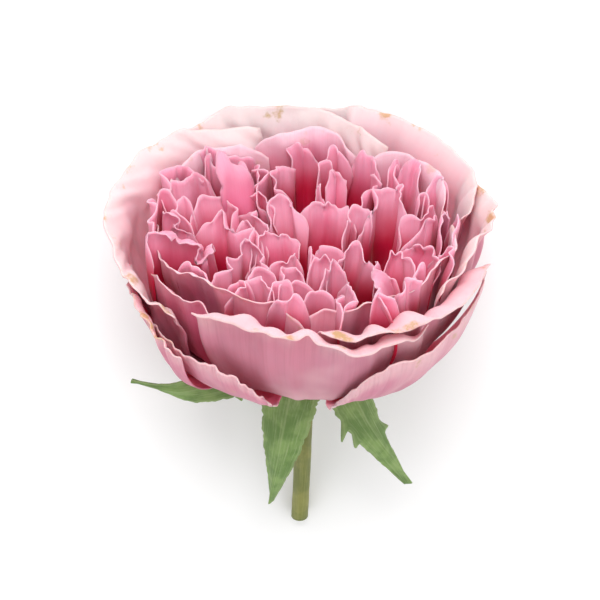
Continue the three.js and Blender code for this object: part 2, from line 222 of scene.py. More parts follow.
def petalTintGroup():
    # colour by the place between base and rim, darker at the base as painted shade deep in the bloom, and
    # crimson painted shade and red bounce glow by the depth below the crown of the bloom, with painted
    # highlight patches, fine veins, soft blotches and bruised tan patches near the rim
    tree, given, result = shaderGroup("petalTint", vectors=("uv", "place"),
                                      colors=("recessShade", "base", "face", "rim", "edge", "tan"),
                                      numbers=("tone", "depth", "vein", "recessShadeAmount", "bruise"))
    parts = addNode(tree, "ShaderNodeSeparateXYZ")
    feed(tree, parts.inputs[0], given["uv"])
    rise = parts.outputs[1]
    blotch = noiseNode(tree, given["place"], 90)
    soft = mathNode(tree, "MULTIPLY", mathNode(tree, "SUBTRACT", blotch, 0.5), 0.20)
    toned = mathNode(tree, "MULTIPLY", given["tone"], 0.05)
    level = mathNode(tree, "ADD", mathNode(tree, "ADD", rise, soft), toned)
    # darker towards the petal's base as painted shade deep in the bloom, paler towards the rim
    color = mixColor(tree, remap(tree, level, 0.35, 0.86), given["base"], given["face"])
    color = mixColor(tree, remap(tree, level, 0.78, 1.0), color, given["rim"])

    veins = noiseNode(tree, stretched(tree, given["uv"], (60, 2.2, 1)), 1.0, 4, 0.62)
    fineVeins = noiseNode(tree, stretched(tree, given["uv"], (160, 5, 1)), 1.0, 2)
    veinMask = mathNode(tree, "MULTIPLY", remap(tree, veins, 0.42, 0.70), given["vein"])
    color = mixColor(tree, veinMask, color, given["base"])

    # painted highlights: soft pale patches mixed towards the rim colour for uneven soft light, raised by each
    # petal's own random tone
    pale = remap(tree, noiseNode(tree, given["place"], 55, 2), 0.45, 0.68, 0.0, 0.45)
    pale = mathNode(tree, "ADD", pale, mathNode(tree, "MULTIPLY", given["tone"], 0.16), True)
    color = mixColor(tree, pale, color, given["rim"])

    # painted shade: the deeper a point lies below the crown, the more crimson it turns, standing in for shade
    # and red bounce glow between the petals
    depth = mathNode(tree, "ADD", given["depth"], mathNode(tree, "MULTIPLY", soft, 0.8))
    recessShadeMask = mathNode(tree, "MULTIPLY", remap(tree, depth, 0.12, 0.70), given["recessShadeAmount"])
    color = mixColor(tree, recessShadeMask, color, given["recessShade"])
    edgeMask = mathNode(tree, "MULTIPLY", remap(tree, rise, 0.984, 1.0), 0.5)
    color = mixColor(tree, edgeMask, color, given["edge"])

    spots = noiseNode(tree, given["place"], 130, 4, 0.6)
    nearRim = remap(tree, rise, 0.80, 0.99)
    spots = mathNode(tree, "ADD", spots, mathNode(tree, "MULTIPLY", nearRim, 0.16))
    bruise = mathNode(tree, "MULTIPLY", remap(tree, spots, 0.70, 0.82), given["bruise"], True)
    feed(tree, result["color"], mixColor(tree, bruise, color, given["tan"]))
    coarse = mathNode(tree, "MULTIPLY", veins, 0.6)
    relief = mathNode(tree, "ADD", coarse, mathNode(tree, "MULTIPLY", fineVeins, 0.4))
    feed(tree, result["height"], mathNode(tree, "ADD", relief, mathNode(tree, "MULTIPLY", blotch, 0.8)))
    return tree


def leafTintGroup():
    # two greens in soft blotches, with a pale colour on the veins, along the margin and down the midrib
    tree, given, result = shaderGroup("leafTint", vectors=("uv", "place", "veinStretch"),
                                      colors=("dark", "light", "pale"),
                                      numbers=("blotchScale", "vein", "margin", "midrib"))
    parts = addNode(tree, "ShaderNodeSeparateXYZ")
    feed(tree, parts.inputs[0], given["uv"])
    across = mathNode(tree, "ABSOLUTE", mathNode(tree, "SUBTRACT", parts.outputs[0], 0.5))
    blotch = noiseNode(tree, given["place"], given["blotchScale"], 4, 0.6)
    veins = noiseNode(tree, stretched(tree, given["uv"], given["veinStretch"]), 1.0, 4, 0.6)
    color = mixColor(tree, remap(tree, blotch, 0.38, 0.66), given["dark"], given["light"])
    masks = (
        (remap(tree, veins, 0.45, 0.7), "vein"),
        (remap(tree, across, 0.38, 0.5), "margin"),
        (remap(tree, across, 0.0, 0.035, 1.0, 0.0), "midrib"),
    )
    for mask, title in masks:
        color = mixColor(tree, mathNode(tree, "MULTIPLY", mask, given[title]), color, given["pale"])
    feed(tree, result["color"], color)
    feed(tree, result["height"], mathNode(tree, "ADD", veins, mathNode(tree, "MULTIPLY", blotch, 0.5)))
    return tree


def tintedMaterial(name, group, look, surface, bumpStrength):
    # a group's colour and relief with the look's own values; surface holds the shader's plain values
    material = bpy.data.materials.new(name)
    material.use_nodes = True
    tree = material.node_tree
    shader = tree.nodes["Principled BSDF"]
    tint = addNode(tree, "ShaderNodeGroup", node_tree=group)
    coords = addNode(tree, "ShaderNodeTexCoord")
    feed(tree, tint.inputs["uv"], coords.outputs["UV"])
    feed(tree, tint.inputs["place"], coords.outputs["Object"])
    for title, value in look.items():
        socket = tint.inputs[title]
        feed(tree, socket, (*value, 1) if socket.type == "RGBA" else value)
    for title, value in surface.items():
        shader.inputs[title].default_value = value
    bump = addNode(tree, "ShaderNodeBump")
    bump.inputs["Strength"].default_value = bumpStrength
    bump.inputs["Distance"].default_value = 0.0004
    feed(tree, bump.inputs["Height"], tint.outputs["height"])
    feed(tree, shader.inputs["Normal"], bump.outputs["Normal"])
    feed(tree, shader.inputs["Base Color"], tint.outputs["color"])
    return material, tint


# the crimson painted as shade and red bounce glow deep between the petals
paintedShadeCrimson = (0.50, 0.0, 0.035)
bruiseTan = (0.50, 0.30, 0.12)
# each look's painted shade amount sets how much crimson painted shade it takes deep in the bloom
petalLooks = dict(
    innerFace=dict(base=(0.64, 0.03, 0.12), face=(0.79, 0.16, 0.29), rim=(0.82, 0.33, 0.45),
                   edge=(0.86, 0.50, 0.58), vein=0.12, recessShadeAmount=1.0),
    innerBack=dict(base=(0.66, 0.04, 0.14), face=(0.80, 0.17, 0.29), rim=(0.81, 0.35, 0.47),
                   edge=(0.86, 0.52, 0.60), vein=0.12, recessShadeAmount=1.0),
    rimFace=dict(base=(0.66, 0.05, 0.15), face=(0.80, 0.27, 0.40), rim=(0.85, 0.52, 0.60),
                 edge=(0.88, 0.60, 0.64), vein=0.10, recessShadeAmount=0.6, bruise=0.35),
    rimBack=dict(base=(0.55, 0.08, 0.18), face=(0.68, 0.17, 0.28), rim=(0.78, 0.38, 0.46),
                 edge=(0.86, 0.58, 0.60), vein=0.2, recessShadeAmount=0.15, bruise=0.3),
    guardFace=dict(base=(0.78, 0.34, 0.43), face=(0.80, 0.50, 0.55), rim=(0.80, 0.60, 0.60),
                   edge=(0.80, 0.62, 0.58), vein=0.05, recessShadeAmount=0.0, bruise=0.8),
    frontGuardFace=dict(base=(0.70, 0.16, 0.27), face=(0.80, 0.36, 0.44), rim=(0.83, 0.48, 0.52),
                        edge=(0.80, 0.52, 0.46), vein=0.08, recessShadeAmount=0.0, bruise=0.9),
    guardBack=dict(base=(0.42, 0.12, 0.18), face=(0.62, 0.21, 0.30), rim=(0.78, 0.44, 0.48),
                   edge=(0.80, 0.56, 0.54), vein=0.3, recessShadeAmount=0.0, bruise=0.55),
)
petalSkin = {
    "Roughness": 0.6,
    "Subsurface Weight": 0.35,
    "Subsurface Radius": (1.0, 0.35, 0.40),
    "Subsurface Scale": 0.0022,
    "Sheen Weight": 0.10,
    "Specular IOR Level": 0.3,
}
petalTint = petalTintGroup()


def petalMaterial(name, look):
    own = dict(recessShade=paintedShadeCrimson, tan=bruiseTan, **look)
    material, tint = tintedMaterial(name, petalTint, own, petalSkin, 0.22)
    for title in ("tone", "depth"):
        reader = addNode(material.node_tree, "ShaderNodeAttribute", attribute_name=title)
        feed(material.node_tree, tint.inputs[title], reader.outputs["Fac"])
    return material


petalMaterials = {name: petalMaterial(name, look) for name, look in petalLooks.items()}

# The petals follow a bowl that is fuller low down at the front than at the back, and stand on the hip's dome.
bowl = dict(depth=50, fullness=2.3, frontFullness=3.3)
hipDome = dict(radius=8.9, height=5.7)
crown = dict(middleHeight=36, edgeRise=10, edgeRadius=45)  # the tops of the inner petals, a shallow dish
petalForm = dict(baseWidth=0.6, fullWidthAt=0.8, climb=1.35, cornerPower=3.5, length=45, leastCurl=0.12,
                 dent=0.35)
waveLength = dict(curl=24, scallop=14, fold=17, ruffle=8)  # millimetres of rim to the longest wave of each
innerLip = dict(longer=1.5, tighter=1.25)  # the inner petals' lips are rolled further than their values say


def bowlReach(z, x, y):
    # how far out the bowl has come at height z, from 0 at its foot to 1 at its brim
    front = smoothStep(0.5 - 0.8 * y / np.maximum(np.hypot(x, y), 1))
    fullness = bowl["fullness"] + (bowl["frontFullness"] - bowl["fullness"]) * front
    below = np.clip(1 - z / bowl["depth"], 0, 1)
    return np.maximum(1 - below ** fullness, 1e-9) ** (1 / fullness)


def baseHeight(brim, x, y):
    # the height at which the bowl of this brim radius leaves the hip's dome, found by halving
    low = np.zeros_like(brim)
    high = np.full_like(brim, hipDome["height"])
    for _ in range(24):
        z = (low + high) / 2
        inside = (brim * bowlReach(z, x, y) / hipDome["radius"]) ** 2 + (z / hipDome["height"]) ** 2 < 1
        low = np.where(inside, z, low)
        high = np.where(inside, high, z)
    return high


def crownHeight(x, y):
    return crown["middleHeight"] + crown["edgeRise"] * (x * x + y * y) / crown["edgeRadius"] ** 2


def rimLength(rim):
    points = curvePoint(rim, np.linspace(0, 1, 40))
    return np.linalg.norm(np.diff(points, axis=0), axis=1).sum()


def petalSurface(petal, u, v):
    # the petal's middle surface: u runs across it from -1 to 1, v from its base (0) to its rim (1)
    rim, seed, length = petal["rim"], petal["seed"], petal["length"]
    opened = np.sin(math.pi / 2 * np.clip(v / petalForm["fullWidthAt"], 0, 1))
    place = 0.5 + 0.5 * u * (petalForm["baseWidth"] + (1 - petalForm["baseWidth"]) * opened)
    edge = curvePoint(rim, place)
    along = curveTangent(rim, place)
    outward = unit(np.stack([along[:, 1], -along[:, 0], np.zeros_like(place)], 1))

    varied = 1 + petal["curlVary"] * waves(u, seed + 1, length / waveLength["curl"])
    curl = math.radians(petal["curl"]) * varied
    curl = np.maximum(curl, petalForm["leastCurl"])
    lipRadius = petal["lip"] / curl
    shoulder = edge - outward * (lipRadius * (1 - np.cos(curl)))[:, None]
    shoulder[:, 2] -= lipRadius * np.sin(curl)

    notch = np.zeros_like(u)
    for notchPlace, depth, width in petal["notches"]:
        notch += depth * np.exp(-((u - notchPlace) / width) ** 2)
    scallop = petal["wavy"] * (0.5 + 0.5 * waves(u, seed + 2, length / waveLength["scallop"], 4))
    rise = v * (1 - petal["corner"] * np.abs(u) ** petalForm["cornerPower"] - scallop - notch)
    lipStart = 1 - petal["lip"] / petalForm["length"]

    x, y, top = shoulder.T
    reach = bowlReach(top, x, y)
    foot = baseHeight(np.hypot(x, y) / reach, x, y)
    z = foot + (top - foot) * np.minimum(rise / lipStart, 1) ** petalForm["climb"]
    scale = bowlReach(z, x, y) / reach
    down = (top - z) / top
    slant = top * down * (1 - down) ** 1.5
    leanX, leanY = petal["lean"]
    below = np.stack([x * scale + leanX * slant, y * scale + leanY * slant, z], 1)
    turn = curl * np.maximum(rise - lipStart, 0) / (1 - lipStart)
    lip = outward * (lipRadius * (1 - np.cos(turn)))[:, None]
    lip[:, 2] += lipRadius * np.sin(turn)
    return below + lip


def petalPoints(petal, u, v):
    # the middle surface with its folds, its ruffled rim and a few shallow dents
    step = 4e-3
    seed, length = petal["seed"], petal["length"]
    right, left = np.minimum(u + step, 1), np.maximum(u - step, -1)
    above, under = np.minimum(v + step, 1), np.maximum(v - step, 0)
    across = petalSurface(petal, right, v) - petalSurface(petal, left, v)
    up = petalSurface(petal, u, above) - petalSurface(petal, u, under)
    normal = unit(np.cross(across, up))
    wander = u + 0.12 * waves(v, seed + 5, 2.0)
    fold = v**2 * waves(wander, seed + 3, length / waveLength["fold"]) * petal["fold"]
    ruffle = v**7 * waves(wander, seed + 4, length / waveLength["ruffle"]) * petal["ruffle"]
    dent = np.sin(math.pi * np.clip(v, 0, 1)) * waves(u * 0.8 + v, seed + 6, 1.2) * petalForm["dent"]
    return sway(petalSurface(petal, u, v) + normal * (fold + ruffle + dent)[:, None])


def addValues(mesh, name, values):
    layer = mesh.attributes.new(name, "FLOAT", "POINT")
    layer.data.foreach_set("value", np.asarray(values, np.float32))


def makePetal(name, petal, materials):
    petal["length"] = rimLength(petal["rim"])
    piece, points = makeSheet(name, petal["grid"], lambda u, v: petalPoints(petal, u, v), petal["thickness"],
                              petal["thickness"] / 2, materials)
    tone = random.Random(petal["seed"] + 9).uniform(-1, 1)
    addValues(piece.data, "tone", np.full(len(points), tone))
    # the depth below the crown, which sets the painted crimson shade between the petals
    addValues(piece.data, "depth", (crownHeight(points[:, 0], points[:, 1]) - points[:, 2]) / 20)
    return piece


# The rim is walked with the petal's outer face on the right. lip is the length of the rim that curls outwards
# by curl degrees, lean slants the upper half, and notches are (place across, depth, width). fold, ruffle and
# thickness are in millimetres; wavy and corner are parts of the petal's height.
petalDefaults = dict(lean=(0, 0), notches=(), wavy=0.06, corner=0.12, fold=1.8, ruffle=1.3, curlVary=0.5,
                     thickness=0.28, lip=2.5, curl=35, grid=(40, 34))
guardDefaults = dict(grid=(90, 50), ruffle=0.14, fold=0.8, wavy=0.014, curlVary=0.25, thickness=0.35,
                     corner=0.05)
rimDefaults = dict(grid=(80, 44), ruffle=0.16, fold=0.8, wavy=0.02)
petaloidDefaults = dict(grid=(28, 28), ruffle=0.5)

guardPetals = {
    "guard_left": dict(rim=[(-13, 44.5, 44), (-39, 32.5, 46), (-53, 5, 43),
                            (-47, -19, 37), (-35.5, -31, 33)],
                       lip=14, curl=60, curlVary=0.15),
    "guard_back": dict(rim=[(24, 35.5, 43), (7, 46, 46), (-19, 47.5, 46.5), (-38, 37, 44)],
                       lip=12, curl=48),
    "guard_right_back": dict(rim=[(44, 4, 41), (46, 17, 44), (33, 37.5, 45), (16, 47, 47), (2, 50, 47)],
                             lip=12, curl=48),
    "guard_right": dict(rim=[(36, -28, 39), (46.5, -10, 43), (50.5, 3, 44), (46, 21, 42)], lip=11, curl=45),
    "guard_front_right": dict(rim=[(5, -48, 37), (22, -43.5, 37), (39, -32, 36), (51, -11, 34)],
                              lip=11, curl=110),
    "guard_low_right": dict(rim=[(6, -34, 7), (12, -41.5, 18), (21.5, -41.5, 25),
                                 (33, -34.5, 25.5), (42.5, -22, 28), (49, -6, 31)],
                            lip=3, curl=25, fold=0.4),
    "guard_front": dict(rim=[(-30, -37, 38), (-15, -45, 39), (2, -49, 37), (18, -46.5, 33), (33, -36, 32)],
                        lip=9, curl=115, notches=[(-0.05, 0.05, 0.05)]),
    "guard_low_left": dict(rim=[(-42, -22, 28), (-36, -30, 24.5), (-27, -37.5, 23.5),
                                (-18, -42, 22), (-11, -41.5, 16), (-7, -34, 7)],
                           lip=2, curl=40, wavy=0.03, fold=0.5, ruffle=0.5),
    "guard_left_low": dict(rim=[(-48.5, -2, 30), (-46.5, -17, 32), (-41, -31, 30), (-34, -39, 26)],
                           lip=5, curl=70, wavy=0.04, fold=0.4, ruffle=0.6),
}

rimPetals = {
    "rim_left": dict(rim=[(-41, 4, 41), (-38, -12, 40), (-28.5, -24, 40), (-14, -35, 41), (2, -38.5, 38)],
                     lip=4, curl=60),
    "rim_low_left": dict(rim=[(-42.5, -8, 36), (-37, -21.5, 37), (-28, -30, 36.5), (-18, -36.5, 36)],
                         lip=5, curl=50),
    "rim_right": dict(rim=[(-3, -35, 39), (11, -36.5, 40), (28, -28.5, 40), (39.5, -11, 42), (41, 4, 42)],
                      lip=4, curl=60),
    "rim_back_left": dict(rim=[(-10, 36, 43), (-23.5, 34, 43), (-34, 25, 42), (-40, 10, 41)],
                          lip=6, curl=40),
    "rim_back": dict(rim=[(15, 35.5, 43), (2, 40, 45), (-14, 38.5, 44)], lip=6, curl=40),
    "rim_back_right": dict(rim=[(38.5, 8, 42), (37.5, 17.5, 43), (28.5, 27.5, 43), (16, 33, 43)],
                           lip=6, curl=40),
}

# An inner petal's rim is drawn in plan only: it stands at the height of the bloom's crown.
innerPetals = {
    "fold_back_1": dict(rim=[(-27, 25), (-30, 23.5), (-35, 22.5), (-38.5, 19), (-40.5, 13)], lip=3),
    "fold_back_2": dict(rim=[(-13, 27), (-16.5, 28), (-20, 25.8), (-25, 24)],
                        lip=7, curl=100, lean=(0, -0.5)),
    "fold_back_3": dict(rim=[(-20, 29.5), (-22, 27), (-25.5, 28.5), (-28.5, 26)], lip=2, lean=(0, -0.2)),
    "fold_back_4": dict(rim=[(-13.5, 33), (-17.5, 31), (-21, 32.8), (-26, 33), (-31, 30)]),
    "fold_back_5": dict(rim=[(-15, 30), (-14, 27), (-13.3, 24), (-13.6, 21),
                             (-12, 18), (-10.2, 15), (-10, 10.5)],
                        lip=2, curl=40),
    "fold_back_6": dict(rim=[(-5, 32.5), (-5.2, 30), (-8.5, 28), (-10.2, 25), (-8, 21.8), (-4, 20.5)],
                        lip=2),
    "fold_back_7": dict(rim=[(5, 35.5), (0, 37.5), (-4, 36), (-5.5, 33)], lip=4, curl=30, lean=(0, -0.2)),
    "fold_back_8": dict(rim=[(12.5, 32), (9, 34.5), (4, 33.5)], lean=(0, -0.3)),
    "fold_back_9": dict(rim=[(21, 26), (19, 29.5), (16, 31.5), (12.3, 33.5)], lip=3, lean=(0, -0.3)),
    "fold_right_1": dict(rim=[(7.5, 20), (4, 23), (1, 21.5)], lip=2, lean=(0, -0.4)),
    "fold_right_2": dict(rim=[(12.5, 25), (8.5, 27), (5.8, 25.5), (4.6, 22)],
                         lip=3, curl=50, lean=(0, -0.7)),
    "fold_right_3": dict(rim=[(20, 28), (18, 25), (16.5, 22), (16.5, 19), (14.3, 15.5), (13, 12.5)], lip=2),
    "fold_right_4": dict(rim=[(26.5, 25.5), (25, 23.5), (23.3, 20.5)], lip=1.5),
    "fold_right_5": dict(rim=[(14, 6.5), (19, 13), (23.8, 19.8), (25.6, 13.5), (26.3, 5)],
                         lip=2, curl=20, lean=(0, -1.0), corner=0.2),
    "fold_right_6": dict(rim=[(11, 2.5), (12, 8.5), (15, 10.8), (19, 10.5)], lip=2, lean=(0, -0.6)),
    "fold_right_7": dict(rim=[(25.5, 1.5), (28.5, 3.5), (32, 4), (36.5, 6.5)], lip=2, lean=(0, -0.3)),
    "fold_right_8": dict(rim=[(28, -5), (30, -2.5), (32.5, -1), (33.5, 1), (36.5, 2.5)],
                         lip=2, lean=(0, -0.3)),
    "fold_right_9": dict(rim=[(34.5, 17), (31.5, 22.5), (27.5, 26.5)], lip=4, curl=45, lean=(-0.2, -0.3)),
    "fold_heart_1": dict(rim=[(-1.8, 13), (3, 16.8), (8, 16.3), (13.8, 11)],
                         lip=2, curl=20, lean=(0, -1.0)),
    "fold_heart_2": dict(rim=[(-10, 10.5), (-7, 14), (-3.5, 15), (-1, 11)],
                         lip=2, curl=30, lean=(0.1, -1.0)),
    "fold_heart_3": dict(rim=[(-12.5, -9), (-11.5, -3), (-8.5, 1), (-5, 2), (-3, -2)],
                         lip=2, lean=(0, -0.7)),
    "fold_heart_4": dict(rim=[(9, -13), (10, -9), (11.5, -6), (15, -7.5), (20, -9.5)],
                         lip=2, lean=(0, -0.5)),
    "fold_left_1": dict(rim=[(-23.5, 23), (-27, 22.5), (-31, 20.5), (-35, 18), (-38, 15), (-38.5, 9)],
                        lip=3, curl=30, lean=(0.1, -0.6)),
    "fold_left_2": dict(rim=[(-29.5, 9.5), (-26, 12.8), (-22, 13.7), (-19.3, 12), (-19.8, 7)],
                        lip=2, lean=(0, -0.7), fold=1.6, ruffle=1.1),
    "fold_left_3": dict(rim=[(-41, 8), (-41.8, 2), (-40.5, -4), (-38, -9.5)], lip=2),
    "fold_left_4": dict(rim=[(-18.7, 12.5), (-15.5, 11.5), (-13.2, 8.5), (-11.5, 4), (-10, -1)],
                        lip=2, lean=(-0.3, -0.5)),
    "fold_left_5": dict(rim=[(-28.5, 4), (-25, 5.7), (-21, 3.7), (-17, 0.7), (-15.5, -3), (-16.5, -8.5)],
                        lip=2, lean=(-0.1, -0.7)),
    "fold_left_6": dict(rim=[(-38.5, -15.5), (-35.5, -12.3), (-31.5, -11.7), (-27.5, -14),
                             (-24, -13.3), (-21, -9), (-20, -4.5)],
                        lip=3.5, curl=95, lean=(0, -0.2)),
    "fold_front_1": dict(rim=[(-22.5, -22), (-21, -15), (-17.5, -9.5), (-14, -7), (-11, -11), (-9, -17)],
                         lip=2, lean=(0, -0.5)),
    "fold_front_2": dict(rim=[(-9.5, -15), (-7.5, -10), (-4, -9), (0, -8)], lip=2, lean=(0, -0.5)),
    "fold_front_3": dict(rim=[(0.2, -14), (3, -12), (5.5, -13), (7, -18)], lip=2, lean=(0, -0.6)),
    "fold_front_4": dict(rim=[(-20, -31), (-16.5, -26.5), (-13.8, -24.3), (-11, -27), (-7, -30)],
                         lip=2, lean=(0, -0.2)),
    "fold_front_5": dict(rim=[(2.5, -23.5), (5.8, -18), (8.5, -16.3), (12.5, -15.2)],
                         lip=2, lean=(0, -0.4)),
    "fold_front_6": dict(rim=[(15, -10.5), (15.5, -15), (16.8, -21),
                              (16.8, -26), (15.8, -31), (15.2, -36.5)],
                         lip=4, curl=85, lean=(0.5, -0.1)),
    "fold_front_7": dict(rim=[(20.5, -14), (22, -11), (24.5, -12.5), (25.7, -17), (25, -22)],
                         lip=3, lean=(-0.1, -0.5)),
    "fold_front_8": dict(rim=[(21, -30.5), (25.5, -33), (29, -30), (30.5, -26)], lip=2, lean=(0, 0.1)),
    "fold_front_9": dict(rim=[(26.2, -4), (29, -8), (31.7, -11.5), (33.3, -18)], lip=3, lean=(-0.4, -0.6)),
}

# Small folded petals between the others, drawn in the same way.
petaloids = [
    dict(rim=[(-40, -2), (-37, -4.3), (-33, -6.3), (-30, -3.7), (-26.5, -1)],
         lip=3, curl=90, lean=(0, -0.2)),
    dict(rim=[(-9, 15.5), (-10.2, 18.5), (-12.2, 21.5), (-12.3, 24.5), (-11.8, 27.5), (-12, 31)], lip=2),
    dict(rim=[(8.3, 28), (5, 29.2), (2.5, 26)], lip=2),
    dict(rim=[(26.5, 27), (23.5, 25.8), (20.5, 23)], lip=2, lean=(0, -0.3)),
    dict(rim=[(34.5, -8.5), (35, -4), (36.2, -2), (38, -1.5), (38.8, 2.5)], lip=2),
    dict(rim=[(34, -9.5), (36.8, -11), (37, -15), (35, -20.5)], lip=2.5, lean=(-0.4, -0.3)),
    dict(rim=[(0, -9.5), (1.8, -3.5), (3.2, -9)], lip=1.5, curl=15, lean=(0, -0.7)),
    dict(rim=[(-7, -23), (-5.3, -18), (-3.7, -16), (-1.8, -20.5)], lip=1.5, lean=(0, -0.4)),
    dict(rim=[(-17.5, -25), (-14, -22), (-10.5, -20), (-6.5, -20.8)], lip=2, lean=(0, -0.3)),
    dict(rim=[(-20.5, -26.5), (-18, -22.5), (-15.5, -25.5)], lip=1.5, lean=(0, -0.2)),
    dict(rim=[(-5.8, -29), (-4.8, -25), (-1, -24.3), (4, -24)], lip=2, lean=(0, -0.2)),
    dict(rim=[(6, -26.5), (8, -31), (8.3, -36), (6.5, -40)], lip=2, lean=(0, 0)),
    dict(rim=[(10.8, -20), (10.2, -27), (10.7, -33), (9.5, -38.5)], lip=2, curl=30, lean=(-0.3, 0)),
    dict(rim=[(-18.8, 3), (-15.8, 4.6), (-14.3, 1.5), (-12.5, -3)], lip=1.5, lean=(-0.2, -0.5)),
    dict(rim=[(-34.5, 10), (-32, 14), (-29.5, 10.5)], lip=1.5, lean=(0, -0.4)),
    dict(rim=[(-40, 8), (-37.5, 10.8), (-35.8, 9), (-37, 4)], lip=1.5, lean=(0, -0.2)),
    dict(rim=[(4.5, -7), (7.5, -5), (10, -7)], lip=1.5, lean=(0, -0.4)),
    dict(rim=[(33, 9.5), (34.8, 15), (37, 17.3), (38.5, 14)], lip=1.5, lean=(0, -0.4)),
    dict(rim=[(-11, -34), (-6, -36.8), (2, -36.5)], lip=2),
    dict(rim=[(-12, -30), (-8, -27.5), (-4, -30.5)], lip=2, lean=(0, -0.2)),
    dict(rim=[(-1, -31), (2.5, -28), (6, -31.5)], lip=2, lean=(0, -0.2)),
    dict(rim=[(29.5, 9), (31, 12.5), (34, 10.5)], lip=2, lean=(0, -0.3)),
    dict(rim=[(20, -24), (21.5, -20.5), (24, -24)], lip=2, lean=(0, -0.3)),
    dict(rim=[(-35, 3), (-32.5, 5.5), (-29.5, 2)], lip=2, lean=(0, -0.4)),
    dict(rim=[(36.5, -3), (39, -6), (39, -11)], lip=2, lean=(-0.1, 0)),
    dict(rim=[(-33, -18.5), (-29.5, -20), (-25.5, -22.5), (-22.5, -27)], lip=1.5),
    dict(rim=[(27, -26), (29.5, -23), (33, -22)], lip=2, lean=(-0.2, -0.3)),
    dict(rim=[(17, -37), (20, -35), (24, -35.5)], lip=2, lean=(0, -0.1)),
]


def makePetals():
    look = petalMaterials
    guardFaces = (look["guardBack"], look["guardFace"])
    frontGuardFaces = (look["guardBack"], look["frontGuardFace"])
    rimFaces = (look["rimBack"], look["rimFace"])
    innerFaces = (look["innerBack"], look["innerFace"])
    smallPetals = {f"petaloid_{number}": own for number, own in enumerate(petaloids, 1)}
    kinds = (
        (guardPetals, guardDefaults, guardFaces, "guard_petal"),
        (rimPetals, rimDefaults, rimFaces, "rim_petal"),
        (innerPetals, {}, innerFaces, "inner_petal"),
        (smallPetals, petaloidDefaults, innerFaces, "inner_petal"),
    )
    seed = 100
    for petals, defaults, materials, slot in kinds:
        for name, own in petals.items():
            seed += 17
            petal = {**petalDefaults, **defaults, "seed": seed, **own}
            if slot == "inner_petal":
                petal["rim"] = [(x, y, crownHeight(x, y)) for x, y in petal["rim"]]
                petal["lip"] *= innerLip["longer"]
                petal["curl"] *= innerLip["tighter"]
            inFront = name.startswith(("guard_front", "guard_low", "guard_left_low"))
            faces = frontGuardFaces if inFront else materials
            piece = makePetal(name.replace("_", "-"), petal, faces)
            if not name.startswith("petaloid"):
                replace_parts(piece, name)
        print(slot, "pieces:", len(petals))


leafTint = leafTintGroup()
leafLooks = dict(
    sepalFace=dict(dark=(0.085, 0.17, 0.035), light=(0.17, 0.28, 0.07), pale=(0.36, 0.45, 0.20), vein=0.40,
                   margin=0.7, midrib=0.6, blotchScale=160, veinStretch=(26, 5, 1)),
    sepalInside=dict(dark=(0.11, 0.20, 0.045), light=(0.20, 0.31, 0.09), pale=(0.38, 0.46, 0.22), vein=0.4,
                     margin=0.3, midrib=0.3, blotchScale=160, veinStretch=(26, 5, 1)),
    stemSkin=dict(dark=(0.15, 0.17, 0.035), light=(0.25, 0.25, 0.06), pale=(0.36, 0.36, 0.12), vein=0.35,
                  margin=0.0, midrib=0.0, blotchScale=120, veinStretch=(40, 4, 1)),
)
leafSkin = {"Subsurface Weight": 0.15, "Subsurface Radius": (0.5, 1.0, 0.2), "Subsurface Scale": 0.001}
leafRoughness = dict(sepalFace=0.6, sepalInside=0.7, stemSkin=0.5)
leafMaterials = {
    name: tintedMaterial(name, leafTint, look, {**leafSkin, "Roughness": leafRoughness[name]}, 0.35)[0]
    for name, look in leafLooks.items()
}

# A sepal runs down the middle points of its spine, from the hip to its tip. Lobes are (side, place, length).
sepals = {
    "sepal_front": dict(spine=[(-2, -9.4, -2.6), (-4, -15, -8), (-6.5, -18.5, -23), (-9, -15.5, -43)],
                        halfWidth=7.6, lobes=()),
    "sepal_right": dict(spine=[(7.6, -5.6, -2.6), (12, -12, -8), (18, -14, -20), (28.2, -12, -40)],
                        halfWidth=7.0, lobes=((-1, 0.36, 4.0), (1, 0.5, 3.5), (1, 0.62, 2.0), (-1, 0.7, 1.8))),
    "sepal_left": dict(spine=[(-8.8, -3.4, -2.6), (-18, -6, -7.5), (-32, -5.5, -12), (-47.5, -2, -11)],
                       halfWidth=4.8, lobes=()),
    "sepal_back_right": dict(spine=[(7, 6.4, -2.6), (14, 11, -6.5), (23, 13, -11), (33, 12, -17)],
                             halfWidth=5.2, lobes=((1, 0.55, 2.5),)),
    "sepal_back_left": dict(spine=[(-5, 8, -2.6), (-10, 13, -7.5), (-15, 13.5, -17), (-18, 11, -29)],
                            halfWidth=5.6, lobes=()),
}

sepalForm = dict(grid=(22, 150), thickness=0.5, clearance=0.3, tipWidth=0.03, ragged=0.05, keel=0.22,
                 lobeWidth=0.022, curl=0.8)


def sepalPoints(sepal, seed, u, t):
    middle = curvePoint(sepal["spine"], t)
    along = unit(curveTangent(sepal["spine"], t))
    side = unit(np.cross(along, unit(middle * (1, 1, 0))))
    back = np.cross(side, along)
    leaf = np.sin(math.pi * np.minimum(1, 0.24 + t**0.8 * 0.755))  # widest near the hip, then a long taper
    width = sepal["halfWidth"] * (sepalForm["tipWidth"] + (1 - sepalForm["tipWidth"]) * leaf)
    ragged = 1 + sepalForm["ragged"] * waves(t * 2 + np.sign(u), seed, 9) * np.abs(u) ** 2
    keel = sepal["halfWidth"] * sepalForm["keel"] * (1 - np.abs(u)) * np.minimum(1, 4 * t)
    point = middle + side * (u * width * ragged)[:, None] + back * keel[:, None]
    for lobeSide, place, length in sepal["lobes"]:
        nearLobe = np.exp(-((t - place) / sepalForm["lobeWidth"]) ** 2) * np.abs(u) ** 6 * (u * lobeSide > 0)
        point += side * (length * nearLobe * lobeSide)[:, None] + along * (length * nearLobe * 0.9)[:, None]
    curl = t**2 * waves(u * 0.5 + t, seed + 1, 1.5) * sepalForm["curl"]
    return point + back * curl[:, None]


